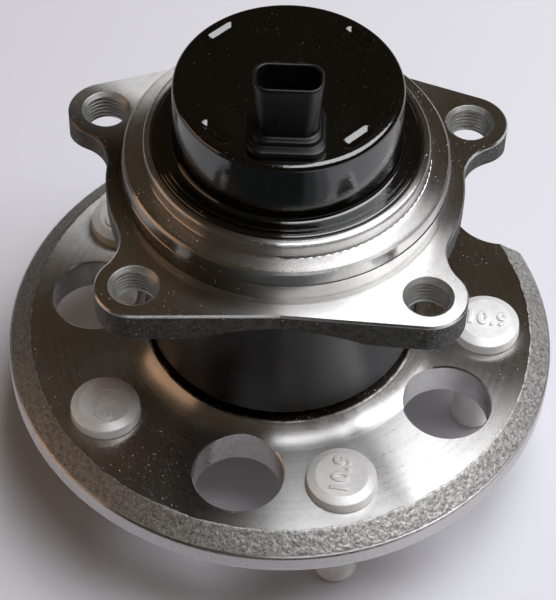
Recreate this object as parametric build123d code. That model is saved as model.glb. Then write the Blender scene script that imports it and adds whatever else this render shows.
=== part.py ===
from build123d import *

import os
from math import acos, asin, atan, cos, degrees, floor, pi, radians, sin, sqrt, tan

# A rear wheel hub bearing unit. A flanged hub turns in a flanged outer ring on two rows of
# balls, and a pressed cap with a wheel-speed sensor closes the inboard end.
# Millimetres. +Z is the wheel axis and points inboard, to the cap. Z = 0 is the face that the
# wheel seats on. The knuckle flange is symmetric about the YZ plane.

# Hub flange
flange_r = 76.0          # rim
flange_t = 10.5          # from the wheel seat to the machined inboard face
machined_r = 70.0        # edge of that machined face, where the forged band begins
band_drop = 4.3          # fall of the forged band from the face to the rim
rim_chamfer = 1.0
rim_round = 0.8
seat_inner_r = 43.0      # the wheel seats outside this radius
seat_relief = 0.6
hub_turn = 36.0          # direction of the scallop at rest, from +X
scallop_r = 14.5
scallop_floor_r = 63.6   # from the axis to the floor of the scallop
scallop_corner_r = 6.0
access_hole_r = 12.0
access_chamfer = 0.4

# Wheel studs
stud_circle_d = 114.3
stud_count = 5
stud_thread_r = 6.0
stud_stickout = 30.5     # beyond the wheel seat
stud_tip_r = 4.2
stud_tip_length = 2.2
stud_knurl_r = 7.1
stud_knurl_z = 1.2       # where the knurl has its full size, inside the flange
stud_hole_chamfer = 0.8  # at the wheel seat
stud_head_r = 9.6
stud_head_h = 4.2
stud_head_flat_r = 7.0
stud_head_edge_h = 3.1   # height of the head's side below its bevel
stud_head_draft = 0.3
stud_head_round = 0.3

# Outboard nose of the hub
disc_pilot_r = 31.0
disc_pilot_h = 5.5
wheel_pilot_r = 30.0
nose_h = 13.0
nose_chamfer = 1.5
pocket_mouth_r = 22.0
pocket_floor_r = 18.0
pocket_depth = 20.0
pocket_floor_round = 3.0
pocket_mouth_round = 0.6

# Boss that faces the outboard seal
boss_overhang = 1.2      # beyond the barrel of the outer ring
boss_foot_w = 3.0
boss_h = 3.8
boss_cove_r = 8.0
boss_edge_round = 0.4

# Four bolts hold the outer ring to the knuckle, and the hub flange has a hole to match each
bolt_circle_r = 53.0
close_half_angle = 43.5  # half the angle between the two bolts that lie close
far_half_angle = 65.6    # half the angle between the other two
bolt_bore_r = 5.35       # M12 x 1.25 thread, at its crests
bolt_chamfer = 1.15

# Knuckle flange
knuckle_to_row = 12.0    # from the inboard row of balls to the face on the knuckle
knuckle_flange_t = 9.5
flange_body_w = 4.2      # from the pilot to the edge of the flange's round body
ear_r = 10.0
neck_r = 12.0            # concave flank between an ear and the body
scoop_depth = 4.5        # forged relief under the flange, between the ears
scoop_half_width = 24.0
edge_break = 0.4
underside_round = 1.2

# Pilot and nose of the outer ring, above the knuckle face
pilot_step_w = 5.7       # from the lip out to the pilot
pilot_seat_h = 6.2
pilot_h = 10.5
lead_step = 0.25         # where the tapered lead begins
lead_taper = 0.2
pilot_chamfer = 0.6
groove_w = 1.4           # relief cut round the pilot's foot
groove_depth = 0.5
lip_wall = 2.1
lip_h = 4.4
lip_round = 1.0
lip_foot_round = 0.5
cap_bore_chamfer = 0.4

# Barrel of the outer ring
barrel_wall = 3.2        # round the seal
seal_gap = 2.5           # from the hub's boss to the barrel's end
barrel_round = 1.0
flare_w = 6.2            # from the barrel to where the cove meets the flange
flare_h = 6.5            # of the cove below the flange
flare_mid_w = 1.6
flare_mid_drop = 1.0
flare_low_round = 4.0
flare_high_round = 5.0

# Two rows of balls
ball_r = 5.953
ball_spacing = 1.09      # from ball to ball, as a share of a ball
pitch_r = 27.5
row_span = 28.0
groove_clearance = 0.05
outer_land_rise = 2.7    # land between the outer raceways, beyond the pitch circle
relief_rise = 5.1        # open side of a raceway, beyond or inside the pitch circle
shoulder_drop = 1.1      # shoulder of an inner raceway, inside the pitch circle
contact_angle = 35.0

# Cages
cage_drop = 0.6          # inside the pitch circle
cage_rise = 2.1          # beyond it
cage_back = 8.2          # from the balls' plane to the closed rim
cage_to_seal = 0.3
cage_front = 3.6         # from the balls' plane to the tips
pocket_clearance = 0.15

# Outboard seal
journal_step = 2.6       # seat of the slinger, beyond the inner shoulder
journal_lead = 0.3
seal_section = 4.6       # from the slinger's seat to the bore of the outer ring
seal_bore_depth = 4.7
case_t = 0.8
case_recess = 0.4
case_reach = 2.6         # inward flange of the case
slinger_t = 0.7
slinger_short = 0.7      # of the bore
slinger_sleeve_h = 5.6
sleeve_to_corner = 0.6
lip_clearance = 0.05
lip_t = 0.6
radial_lip_drop = 2.2
rubber_t = 1.2
side_lip_in = 1.6        # tip of the side lip, inside the slinger's edge

# Inner ring, nut and spindle end
inner_ring_wall = 5.4    # below its raceway
inner_ring_low_w = 8.0   # from the balls' plane outboard
thread_step = 2.0        # spindle's thread below its seat
nut_h = 8.0
nut_wall = 4.0           # from the thread to a flat
nut_corner_cut = 1.5     # what its chamfer leaves of the corners
nut_chamfer = 1.2
spindle_end_past_nut = 2.0
spindle_chamfer = 1.2
ring_break = 0.4

# Tone ring
tone_t = 1.2
tone_grip = 5.0          # length pressed on the inner ring
tone_to_cage = 0.8
window_count = 48
window_below_pole = 1.8
window_h = 6.0
tone_rim = 3.5           # above the windows
window_share = 0.5       # part of each pitch that is open

# Sensor cap
sheet_t = 0.9
brim_proud = 0.9         # cap's brim above the lip of the outer ring
cap_skirt_depth = 8.0
cap_wall_gap = 0.8       # from the tone ring to the cap
cap_draft = 0.4
cap_h = 18.2             # above the brim
brim_w = 5.2
cap_corner_r = 1.6
cap_foot_r = 1.2
brim_corner_r = 0.9
brim_step_in = 1.3
brim_step_h = 0.3
dimple_count = 4
dimple_inset = 4.5
dimple_l = 8.8
dimple_w = 2.8
dimple_depth = 0.6

# Connector housing, moulded with the sensor's lid
socket_inset = 11.7      # of its middle from the edge of the cap's top
socket_h = 19.2          # above the cap
socket_mouth_l = 16.9
socket_mouth_w = 9.8
socket_foot_l = 15.0
socket_foot_w = 8.8
socket_corner_r = 3.0
socket_wall = 1.15
socket_depth = 13.5
plinth_l = 19.6
plinth_w = 17.4
plinth_h = 1.8
plinth_corner_r = 4.0
plinth_round = 0.8
collar_l = 17.2
collar_w = 12.4
collar_h = 1.3
neck_clearance = 0.2
rib_x = 2.85
rib_w = 1.5
rib_proud = 1.1
rib_drop = 0.8
rib_h = 9.0
lid_to_tone = 3.4
lid_t = 4.6
terminal_x = 2.6
terminal_w = 2.2
terminal_t = 0.64
terminal_h = 7.0

# Sensor under the lid
bobbin_bore_r = 9.5
bobbin_wall = 2.5
bobbin_flange_in = 1.0   # inside the lid's edge
bobbin_flange_t = 1.0
coil_low = 0.5           # below the bobbin's edge
coil_h = 6.0
pole_t = 2.2
pole_gap = 0.5
pole_tooth_h = 1.3
magnet_in = 1.5          # inside the coil
magnet_h = 3.3

# Radii that follow
race_r = ball_r + groove_clearance
ball_count = floor(pi / asin(ball_spacing * ball_r / pitch_r))
outer_land_r = pitch_r + outer_land_rise
outer_low_r = pitch_r + relief_rise
inner_shoulder_r = pitch_r - shoulder_drop
inner_low_r = pitch_r - relief_rise
cage_inner_r = pitch_r - cage_drop
cage_outer_r = pitch_r + cage_rise
slinger_seat_r = inner_shoulder_r + journal_step
seal_bore_r = slinger_seat_r + seal_section
slinger_flange_r = seal_bore_r - slinger_short
case_flange_r = seal_bore_r - case_reach
barrel_r = seal_bore_r + barrel_wall
boss_r = barrel_r + boss_overhang
boss_foot_r = boss_r + boss_foot_w
spindle_seat_r = inner_low_r - inner_ring_wall
spindle_thread_r = spindle_seat_r - thread_step
nut_flat_r = spindle_thread_r + nut_wall
tone_r = inner_shoulder_r + tone_t
cap_wall_foot_r = tone_r + cap_wall_gap + sheet_t
cap_wall_top_r = cap_wall_foot_r - cap_draft
cap_bore_r = cap_wall_foot_r + brim_w
brim_step_r = cap_bore_r - brim_step_in
lip_r = cap_bore_r + lip_wall
pilot_r = lip_r + pilot_step_w
flange_body_r = pilot_r + flange_body_w
lead_r = pilot_r - lead_step
dimple_circle_r = cap_wall_top_r - dimple_inset
socket_y = socket_inset - cap_wall_top_r
lid_r = inner_shoulder_r - lid_to_tone
bobbin_tube_r = bobbin_bore_r + bobbin_wall
bobbin_flange_r = lid_r - bobbin_flange_in
coil_r = bobbin_flange_r - coil_low
magnet_r = coil_r - magnet_in

# Heights that follow
machined_z = flange_t
rim_z = machined_z - band_drop
boss_z = machined_z + boss_h
barrel_z = boss_z + seal_gap
seal_step_z = barrel_z + seal_bore_depth
outboard_row_z = seal_step_z + cage_to_seal + cage_back
inboard_row_z = outboard_row_z + row_span
knuckle_face_z = inboard_row_z + knuckle_to_row
underside_z = knuckle_face_z - knuckle_flange_t
end_face_z = knuckle_face_z + pilot_h
lip_z = end_face_z + lip_h
brim_z = lip_z + brim_proud
cap_top_z = brim_z + cap_h
inner_ring_z = inboard_row_z - inner_ring_low_w
tone_foot_z = inboard_row_z + cage_back + tone_to_cage
inner_ring_top_z = tone_foot_z + tone_grip
nut_top_z = inner_ring_top_z + nut_h
cap_inside_z = cap_top_z - sheet_t
lid_z = cap_inside_z - lid_t
coil_z = lid_z - bobbin_flange_t - coil_h
pole_top_z = coil_z - bobbin_flange_t
pole_z = pole_top_z - pole_t
magnet_z = pole_z - magnet_h
window_z = pole_z - window_below_pole
tone_top_z = window_z + window_h + tone_rim


def turned(corners):
    """Solid of revolution from (radius, z, rounding) corners."""
    points = [(r, z) for r, z, _ in corners]
    rounds = [rounding for _, _, rounding in corners]
    outline = FilletPolyline(*points, radius=rounds, close=True)
    return revolve(Plane.XZ * make_face(outline), Axis.Z)


def ring(inner_r, outer_r, low_z, high_z):
    return turned([(inner_r, low_z, 0), (outer_r, low_z, 0), (outer_r, high_z, 0), (inner_r, high_z, 0)])


def at(radius, angle, z=0.0):
    return Pos(radius * cos(radians(angle)), radius * sin(radians(angle)), z)


def upright(radius, low_z, high_z):
    return Pos(0, 0, (low_z + high_z) / 2) * Cylinder(radius, high_z - low_z)


def drill(radius, low_z, high_z, chamfer_size):
    """Cutter for a through hole with a chamfer at both mouths."""
    cutter = upright(radius, low_z - 1, high_z + 1)
    for z, way in ((low_z, 1), (high_z, -1)):
        wide = radius + chamfer_size + 1
        cone = Cone(wide, wide - 2 * chamfer_size - 1, 2 * chamfer_size + 1)
        cutter += Pos(0, 0, z + way * (chamfer_size - 0.5)) * Rot(0 if way > 0 else 180, 0, 0) * cone
    return cutter


def four_bolt_angles(close_direction):
    """Angles of the bolts, with the close pair about one direction and the far pair opposite."""
    far_direction = close_direction + 180
    return [
        close_direction - close_half_angle,
        close_direction + close_half_angle,
        far_direction - far_half_angle,
        far_direction + far_half_angle,
    ]


def raceway(z):
    return Pos(0, 0, z) * Torus(pitch_r, race_r)


def slot_prism(length, width, corner_r, low_z, high_z):
    outline = RectangleRounded(length, width, corner_r)
    return extrude(Pos(0, 0, low_z) * outline, high_z - low_z)


def hub_spindle():
    shaft_end_z = nut_top_z + spindle_end_past_nut
    journal_z = boss_z + slinger_sleeve_h + sleeve_to_corner
    body = turned([
        (0, pocket_depth - nose_h, 0),
        (pocket_floor_r, pocket_depth - nose_h, pocket_floor_round),
        (pocket_mouth_r, -nose_h, pocket_mouth_round),
        (wheel_pilot_r - nose_chamfer, -nose_h, 0),
        (wheel_pilot_r, -nose_h + nose_chamfer, 0),
        (wheel_pilot_r, -disc_pilot_h, 0),
        (disc_pilot_r, -disc_pilot_h, 0),
        (disc_pilot_r, seat_relief, 0),
        (seat_inner_r, seat_relief, 0),
        (seat_inner_r + seat_relief, 0, 0),
        (flange_r - rim_chamfer, 0, 0),
        (flange_r, rim_chamfer, 0),
        (flange_r, rim_z, rim_round),
        (machined_r, machined_z, 0),
        (boss_foot_r, machined_z, boss_cove_r),
        (boss_r, boss_z, boss_edge_round),
        (slinger_seat_r, boss_z, 0),
        (slinger_seat_r, journal_z, 0),
        (inner_shoulder_r, journal_z + journal_lead, 0),
        (inner_shoulder_r, outboard_row_z, 0),
        (inner_low_r, outboard_row_z, 0),
        (inner_low_r, inner_ring_z, ring_break),
        (spindle_seat_r, inner_ring_z, 0),
        (spindle_seat_r, inner_ring_top_z, 0),
        (spindle_thread_r, inner_ring_top_z, 0),
        (spindle_thread_r, shaft_end_z - spindle_chamfer, 0),
        (spindle_thread_r - spindle_chamfer, shaft_end_z, 0),
        (0, shaft_end_z, 0),
    ])
    body -= raceway(outboard_row_z)
    body -= at(scallop_floor_r + scallop_r, hub_turn) * scallop()
    body -= access_holes()
    for angle in stud_angles():
        body -= at(stud_circle_d / 2, angle) * stud_hole()
    return body


def access_holes():
    """Cutters for the four wrench holes. The inboard chamfer stops where the boss's cove begins."""
    cove_start_r = boss_foot_r + boss_cove_r * tan(atan(boss_h / boss_foot_w) / 2)
    cove = upright(cove_start_r, machined_z - access_chamfer, boss_z + 1)
    chamfered = drill(access_hole_r, 0, machined_z, access_chamfer)
    holes = [at(bolt_circle_r, angle) for angle in four_bolt_angles(hub_turn + 180)]
    cutters = [place * chamfered - cove for place in holes]
    return cutters + [place * upright(access_hole_r, -1, boss_z + 1) for place in holes]


def stud_hole():
    mouth_r = stud_knurl_r + stud_hole_chamfer
    return turned([
        (0, -1, 0),
        (mouth_r, -1, 0),
        (mouth_r, 0, 0),
        (stud_knurl_r, stud_hole_chamfer, 0),
        (stud_knurl_r, machined_z + 1, 0),
        (0, machined_z + 1, 0),
    ])


def scallop():
    """Cutter for the notch in the rim: a round floor that opens out through rounded corners."""
    centre_r = scallop_floor_r + scallop_r
    corner_x = flange_r - scallop_corner_r - centre_r
    reach = scallop_r + scallop_corner_r
    corner_y = sqrt(reach ** 2 - corner_x ** 2)
    touch_x = corner_x * scallop_r / reach
    touch_y = corner_y * scallop_r / reach
    outer_x = corner_x + 2 * scallop_corner_r
    mouth = make_face(Polyline(
        (touch_x, -touch_y),
        (corner_x, -corner_y),
        (outer_x, -corner_y),
        (outer_x, corner_y),
        (corner_x, corner_y),
        (touch_x, touch_y),
        close=True,
    ))
    for side in (-1, 1):
        mouth -= Pos(corner_x, side * corner_y) * Circle(scallop_corner_r)
    prism = extrude(Pos(0, 0, -1) * (Circle(scallop_r) + mouth), machined_z + 2)
    return Rot(0, 0, hub_turn) * prism


def stud_angles():
    return [hub_turn + 180 + i * 360 / stud_count for i in range(stud_count)]


def wheel_stud():
    head_z = machined_z + stud_head_h
    return turned([
        (0, -stud_stickout, 0),
        (stud_tip_r, -stud_stickout, 0),
        (stud_thread_r, -stud_stickout + stud_tip_length, 0),
        (stud_thread_r, stud_knurl_z - (stud_knurl_r - stud_thread_r), 0),
        (stud_knurl_r, stud_knurl_z, 0),
        (stud_knurl_r, machined_z, 0),
        (stud_head_r, machined_z, stud_head_round),
        (stud_head_r - stud_head_draft, machined_z + stud_head_edge_h, stud_head_round),
        (stud_head_flat_r, head_z, stud_head_round),
        (0, head_z, 0),
    ])


def knuckle_outline():
    """Plan of the knuckle flange: a round body with four ears, straight at front and back."""
    plan = Circle(flange_body_r)
    close_pair = four_bolt_angles(-90)[:2]
    for angle in four_bolt_angles(-90):
        is_close = angle in close_pair
        outward = -1 if (cos(radians(angle)) > 0) == is_close else 1
        plan += at(bolt_circle_r, angle) * Circle(ear_r)
        plan += straight_web(angle, outward)
        plan += hollow_web(angle, -outward)
    return plan


def straight_web(angle, way):
    """Fills between body and ear up to the line that is tangent to both."""
    normal = angle + way * degrees(acos((flange_body_r - ear_r) / bolt_circle_r))
    ear = at(bolt_circle_r, angle).position
    on_body = at(flange_body_r, normal).position
    on_ear = ear + at(ear_r, normal).position
    corners = [(0, 0), (on_body.X, on_body.Y), (on_ear.X, on_ear.Y), (ear.X, ear.Y)]
    return make_face(Polyline(*corners, close=True))


def hollow_web(angle, way):
    """Fills between body and ear up to the concave arc that is tangent to both."""
    to_axis = flange_body_r + neck_r
    to_ear = ear_r + neck_r
    turn = degrees(acos((to_axis ** 2 + bolt_circle_r ** 2 - to_ear ** 2) / (2 * to_axis * bolt_circle_r)))
    hollow = at(to_axis, angle + way * turn)
    ear = at(bolt_circle_r, angle).position
    corner = hollow.position
    web = make_face(Polyline((0, 0), (ear.X, ear.Y), (corner.X, corner.Y), close=True))
    return web - hollow * Circle(neck_r)


def knuckle_flange():
    plate = extrude(Pos(0, 0, underside_z) * knuckle_outline(), knuckle_flange_t)
    plate = chamfer(plate.faces().sort_by(Axis.Z)[-1].outer_wire().edges(), edge_break)
    plate = fillet(plate.faces().sort_by(Axis.Z)[0].outer_wire().edges(), underside_round)
    scoop_r = (scoop_half_width ** 2 + scoop_depth ** 2) / (2 * scoop_depth)
    long_scoop = Rot(90, 0, 0) * Cylinder(scoop_r, 4 * flange_body_r)
    for direction in (0, 90):
        plate -= Pos(0, 0, underside_z + scoop_depth - scoop_r) * Rot(0, 0, direction) * long_scoop
    return plate


def outer_ring():
    body = turned([
        (inner_low_r, barrel_z, 0),
        (barrel_r, barrel_z, barrel_round),
        (barrel_r, underside_z - flare_h, flare_low_round),
        (barrel_r + flare_mid_w, underside_z - flare_mid_drop, flare_high_round),
        (barrel_r + flare_w, underside_z + scoop_depth, 0),
        (barrel_r + flare_w, knuckle_face_z, 0),
        (pilot_r, knuckle_face_z, 0),
        (pilot_r, knuckle_face_z + pilot_seat_h, 0),
        (lead_r, knuckle_face_z + pilot_seat_h + lead_step, 0),
        (lead_r - lead_taper, end_face_z - pilot_chamfer, 0),
        (lead_r - lead_taper - pilot_chamfer, end_face_z, 0),
        (lip_r, end_face_z, lip_foot_round),
        (lip_r, lip_z, lip_round),
        (inner_low_r, lip_z, 0),
    ])
    body += knuckle_flange()
    body -= turned([
        (pilot_r, knuckle_face_z - groove_depth, 0),
        (pilot_r + groove_w, knuckle_face_z - groove_depth, 0),
        (pilot_r + groove_w, knuckle_face_z + 0.5, 0),
        (pilot_r, knuckle_face_z + 0.5, 0),
    ])
    body -= turned([
        (0, barrel_z - 1, 0),
        (seal_bore_r, barrel_z - 1, 0),
        (seal_bore_r, seal_step_z, 0),
        (outer_low_r, seal_step_z, 0),
        (outer_low_r, outboard_row_z, 0),
        (outer_land_r, outboard_row_z, 0),
        (outer_land_r, inboard_row_z, 0),
        (outer_low_r, inboard_row_z, 0),
        (outer_low_r, inner_ring_top_z, 0),
        (cap_bore_r, inner_ring_top_z + 2, 0),
        (cap_bore_r, lip_z - cap_bore_chamfer, 0),
        (cap_bore_r + cap_bore_chamfer + 1, lip_z + 1, 0),
        (0, lip_z + 1, 0),
    ])
    for row_z in (outboard_row_z, inboard_row_z):
        body -= raceway(row_z)
    for angle in four_bolt_angles(-90):
        body -= at(bolt_circle_r, angle) * drill(bolt_bore_r, underside_z, knuckle_face_z, bolt_chamfer)
    return body


def inner_ring():
    blank = turned([
        (spindle_seat_r, inner_ring_z, ring_break),
        (inner_low_r, inner_ring_z, ring_break),
        (inner_low_r, inboard_row_z, 0),
        (inner_shoulder_r, inboard_row_z, 0),
        (inner_shoulder_r, inner_ring_top_z, ring_break),
        (spindle_seat_r, inner_ring_top_z, ring_break),
    ])
    return blank - raceway(inboard_row_z)


def ball_row(z):
    ball = Sphere(ball_r)
    step = 360 / ball_count
    return Compound([at(pitch_r, i * step, z) * ball for i in range(ball_count)])


def cage(z, way):
    """Snap cage with its closed rim towards the given way along the axis."""
    low = min(-way * cage_front, way * cage_back)
    high = max(-way * cage_front, way * cage_back)
    band = ring(cage_inner_r, cage_outer_r, z + low, z + high)
    step = 360 / ball_count
    for i in range(ball_count):
        band -= at(pitch_r, i * step, z) * Sphere(ball_r + pocket_clearance)
    return band


def seal_case():
    low = barrel_z + case_recess
    return turned([
        (seal_bore_r, low, 0),
        (seal_bore_r, seal_step_z, case_t / 2),
        (case_flange_r, seal_step_z, 0),
        (case_flange_r, seal_step_z - case_t, 0),
        (seal_bore_r - case_t, seal_step_z - case_t, 0),
        (seal_bore_r - case_t, low, 0),
    ])


def seal_lip():
    """Rubber on the case: one lip rubs the slinger's sleeve, the other points at its flange."""
    root_z = seal_step_z - case_t
    side_tip_z = boss_z + slinger_t + lip_clearance
    side_tip_r = slinger_flange_r - side_lip_in
    sleeve_r = slinger_seat_r + slinger_t + lip_clearance
    rubber_r = seal_bore_r - case_t
    return turned([
        (rubber_r, root_z, 0),
        (case_flange_r - lip_t, root_z, 0),
        (sleeve_r, root_z - radial_lip_drop, 0),
        (sleeve_r + lip_t, root_z - radial_lip_drop - lip_t / 2, 0),
        (case_flange_r, root_z - rubber_t, 0),
        (side_tip_r, side_tip_z, 0),
        (side_tip_r + lip_t, side_tip_z, 0),
        (rubber_r - lip_t, root_z - rubber_t, 0),
        (rubber_r, root_z - rubber_t, 0),
    ])


def seal_slinger():
    return turned([
        (slinger_seat_r, boss_z, 0),
        (slinger_flange_r, boss_z, 0),
        (slinger_flange_r, boss_z + slinger_t, 0),
        (slinger_seat_r + slinger_t, boss_z + slinger_t, 0),
        (slinger_seat_r + slinger_t, boss_z + slinger_sleeve_h, 0),
        (slinger_seat_r, boss_z + slinger_sleeve_h, 0),
    ])


def lock_nut():
    blank = RegularPolygon(nut_flat_r, 6, major_radius=False)
    nut = extrude(Pos(0, 0, inner_ring_top_z) * blank, nut_h)
    top = turned([
        (0, inner_ring_top_z, 0),
        (nut_flat_r + nut_corner_cut, inner_ring_top_z, 0),
        (nut_flat_r + nut_corner_cut, nut_top_z - nut_chamfer, 0),
        (nut_flat_r, nut_top_z, 0),
        (0, nut_top_z, 0),
    ])
    return (nut & top) - upright(spindle_thread_r, inner_ring_top_z - 1, nut_top_z + 1)


def tone_ring():
    wall = ring(inner_shoulder_r, tone_r, tone_foot_z, tone_top_z)
    pitch = 360 / window_count
    width = 2 * inner_shoulder_r * sin(radians(pitch * window_share / 2))
    for i in range(window_count // 2):
        bar = Box(4 * inner_shoulder_r, width, window_h)
        wall -= Pos(0, 0, window_z + window_h / 2) * Rot(0, 0, i * pitch) * bar
    return wall


def cap_profile(inset, foot_z):
    """Outer or inner skin of the cap, from the skirt's foot to the axis, as turned corners."""
    step_z = brim_z - brim_step_h
    return [
        (cap_bore_r - inset, foot_z, 0),
        (cap_bore_r - inset, step_z - inset, max(brim_corner_r - inset, 0.1)),
        (brim_step_r - inset, step_z - inset, 0),
        (brim_step_r - brim_step_h - inset, brim_z - inset, 0),
        (cap_wall_foot_r - inset, brim_z - inset, cap_foot_r + inset),
        (cap_wall_top_r - inset, cap_top_z - inset, cap_corner_r - inset),
    ]


def sensor_cap():
    foot_z = lip_z - cap_skirt_depth
    outside = turned(cap_profile(0, foot_z) + [(0, cap_top_z, 0), (0, foot_z, 0)])
    inside = turned(cap_profile(sheet_t, foot_z - 1) + [(0, cap_top_z - sheet_t, 0), (0, foot_z - 1, 0)])
    shell = outside - inside
    dimple = slot_prism(dimple_l, dimple_w, dimple_w / 2 - 0.01, cap_top_z - dimple_depth, cap_top_z + 1)
    for i in range(dimple_count):
        angle = 45 + i * 360 / dimple_count
        shell -= at(dimple_circle_r, angle) * Rot(0, 0, angle + 90) * dimple
    neck = slot_prism(
        socket_foot_l + 2 * neck_clearance,
        socket_foot_w + 2 * neck_clearance,
        socket_corner_r,
        cap_inside_z - 1,
        cap_top_z + 1,
    )
    return shell - Pos(0, socket_y, 0) * neck


def connector_housing():
    """Lid of the sensor, its neck through the cap, and the open socket above."""
    foot_z = cap_top_z + plinth_h + collar_h
    mouth_z = cap_top_z + socket_h
    tower = loft([
        Pos(0, 0, foot_z) * RectangleRounded(socket_foot_l, socket_foot_w, socket_corner_r),
        Pos(0, 0, mouth_z) * RectangleRounded(socket_mouth_l, socket_mouth_w, socket_corner_r),
    ])
    plinth = slot_prism(plinth_l, plinth_w, plinth_corner_r, cap_top_z, cap_top_z + plinth_h)
    plinth = fillet(plinth.faces().sort_by(Axis.Z)[-1].edges(), plinth_round)
    collar = slot_prism(collar_l, collar_w, socket_corner_r + 1, cap_top_z + plinth_h - 0.1, foot_z)
    collar = fillet(collar.faces().sort_by(Axis.Z)[-1].edges(), collar_h / 2)
    neck = slot_prism(socket_foot_l, socket_foot_w, socket_corner_r, cap_inside_z, foot_z)
    lean = (socket_mouth_w - socket_foot_w) / 2
    for side in (-1, 1):
        rib_top = mouth_z - rib_drop
        rib = Pos(side * rib_x, socket_mouth_w / 2, rib_top - rib_h / 2)
        tower += rib * Box(rib_w, 2 * rib_proud + lean, rib_h)
    body = tower + plinth + collar + neck
    body -= slot_prism(
        socket_mouth_l - 2 * socket_wall,
        socket_mouth_w - 2 * socket_wall,
        socket_corner_r - socket_wall,
        mouth_z - socket_depth,
        mouth_z + 1,
    )
    lid = ring(0, lid_r, lid_z, cap_inside_z)
    return Pos(0, socket_y, 0) * body + lid


def terminals():
    floor_z = cap_top_z + socket_h - socket_depth
    blade = Box(terminal_w, terminal_t, terminal_h)
    return Compound([
        Pos(side * terminal_x, socket_y, floor_z + terminal_h / 2) * blade
        for side in (-1, 1)
    ])


def coil_bobbin():
    return turned([
        (bobbin_bore_r, magnet_z, 0),
        (bobbin_tube_r, magnet_z, 0),
        (bobbin_tube_r, pole_top_z, 0),
        (bobbin_flange_r, pole_top_z, 0),
        (bobbin_flange_r, coil_z, 0),
        (bobbin_tube_r, coil_z, 0),
        (bobbin_tube_r, coil_z + coil_h, 0),
        (bobbin_flange_r, coil_z + coil_h, 0),
        (bobbin_flange_r, lid_z, 0),
        (bobbin_bore_r, lid_z, 0),
    ])


def pole_ring():
    """Toothed plate whose teeth face the windows of the tone ring."""
    tip_r = inner_shoulder_r - pole_gap
    root_r = tip_r - pole_tooth_h
    plate = ring(bobbin_tube_r, tip_r, pole_z, pole_top_z)
    pitch = 360 / window_count
    width = 2 * tip_r * sin(radians(pitch * window_share / 2))
    notch = Pos(root_r + tip_r / 2, 0, (pole_z + pole_top_z) / 2) * Box(tip_r, width, pole_t + 2)
    for i in range(window_count):
        plate -= Rot(0, 0, (i + 0.5) * pitch) * notch
    return plate


pieces = {
    "hub_spindle": hub_spindle(),
    "wheel_studs": Compound([at(stud_circle_d / 2, angle) * wheel_stud() for angle in stud_angles()]),
    "outer_ring": outer_ring(),
    "inner_ring": inner_ring(),
    "lock_nut": lock_nut(),
    "outboard_balls": ball_row(outboard_row_z),
    "inboard_balls": ball_row(inboard_row_z),
    "outboard_cage": cage(outboard_row_z, -1),
    "inboard_cage": cage(inboard_row_z, 1),
    "seal_case": seal_case(),
    "seal_lip": seal_lip(),
    "seal_slinger": seal_slinger(),
    "tone_ring": tone_ring(),
    "sensor_cap": sensor_cap(),
    "connector_housing": connector_housing(),
    "connector_terminals": terminals(),
    "coil_bobbin": coil_bobbin(),
    "sensor_coil": ring(bobbin_tube_r, coil_r, coil_z, coil_z + coil_h),
    "sensor_magnet": ring(bobbin_tube_r, magnet_r, magnet_z, pole_z),
    "pole_ring": pole_ring(),
}

os.makedirs("parts", exist_ok=True)
for name, shape in pieces.items():
    export_step(shape, f"parts/{name}.step")
cage_ratio = (1 - ball_r / pitch_r * cos(radians(contact_angle))) / 2
print(f"a cage turns {cage_ratio:.4f} of the hub's turn")
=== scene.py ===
import math

import bmesh
import bpy
import numpy as np
from mathutils import Matrix, Vector
from mathutils.geometry import delaunay_2d_cdt


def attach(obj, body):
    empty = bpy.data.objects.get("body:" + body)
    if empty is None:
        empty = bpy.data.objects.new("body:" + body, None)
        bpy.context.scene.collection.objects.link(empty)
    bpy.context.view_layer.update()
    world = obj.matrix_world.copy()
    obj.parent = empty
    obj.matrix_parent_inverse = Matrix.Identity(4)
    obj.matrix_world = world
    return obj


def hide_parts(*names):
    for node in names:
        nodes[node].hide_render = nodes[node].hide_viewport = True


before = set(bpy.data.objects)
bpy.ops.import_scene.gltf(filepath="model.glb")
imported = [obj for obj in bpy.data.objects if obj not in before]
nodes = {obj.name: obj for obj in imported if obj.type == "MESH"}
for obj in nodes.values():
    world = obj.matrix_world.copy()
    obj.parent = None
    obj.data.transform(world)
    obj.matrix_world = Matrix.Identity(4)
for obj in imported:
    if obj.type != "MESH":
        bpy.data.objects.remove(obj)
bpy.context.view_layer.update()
mm = 0.001
print("frame loaded")


class Wire:
    # A socket of one finish. Operators on it add Math nodes.
    def __init__(self, finish, socket):
        self.finish, self.socket = finish, socket

    def math(self, operation, *values):
        return self.finish.node("ShaderNodeMath", {"operation": operation}, values)

    def __add__(self, other):
        return self.math("ADD", self, other)

    def __sub__(self, other):
        return self.math("SUBTRACT", self, other)

    def __rsub__(self, other):
        return self.math("SUBTRACT", other, self)

    def __mul__(self, other):
        return self.math("MULTIPLY", self, other)

    __radd__, __rmul__ = __add__, __mul__

    def sine(self):
        return self.math("SINE", self)

    def most(self, other):
        # The larger of the two
        return self.math("MAXIMUM", self, other)

    def rise(self, low, high):
        # 0 below low, 1 above high, with a smooth slope between them
        values = {"Value": self, "From Min": low, "From Max": high}
        return self.finish.node("ShaderNodeMapRange", {"interpolation_type": "SMOOTHSTEP"}, values)


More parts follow.
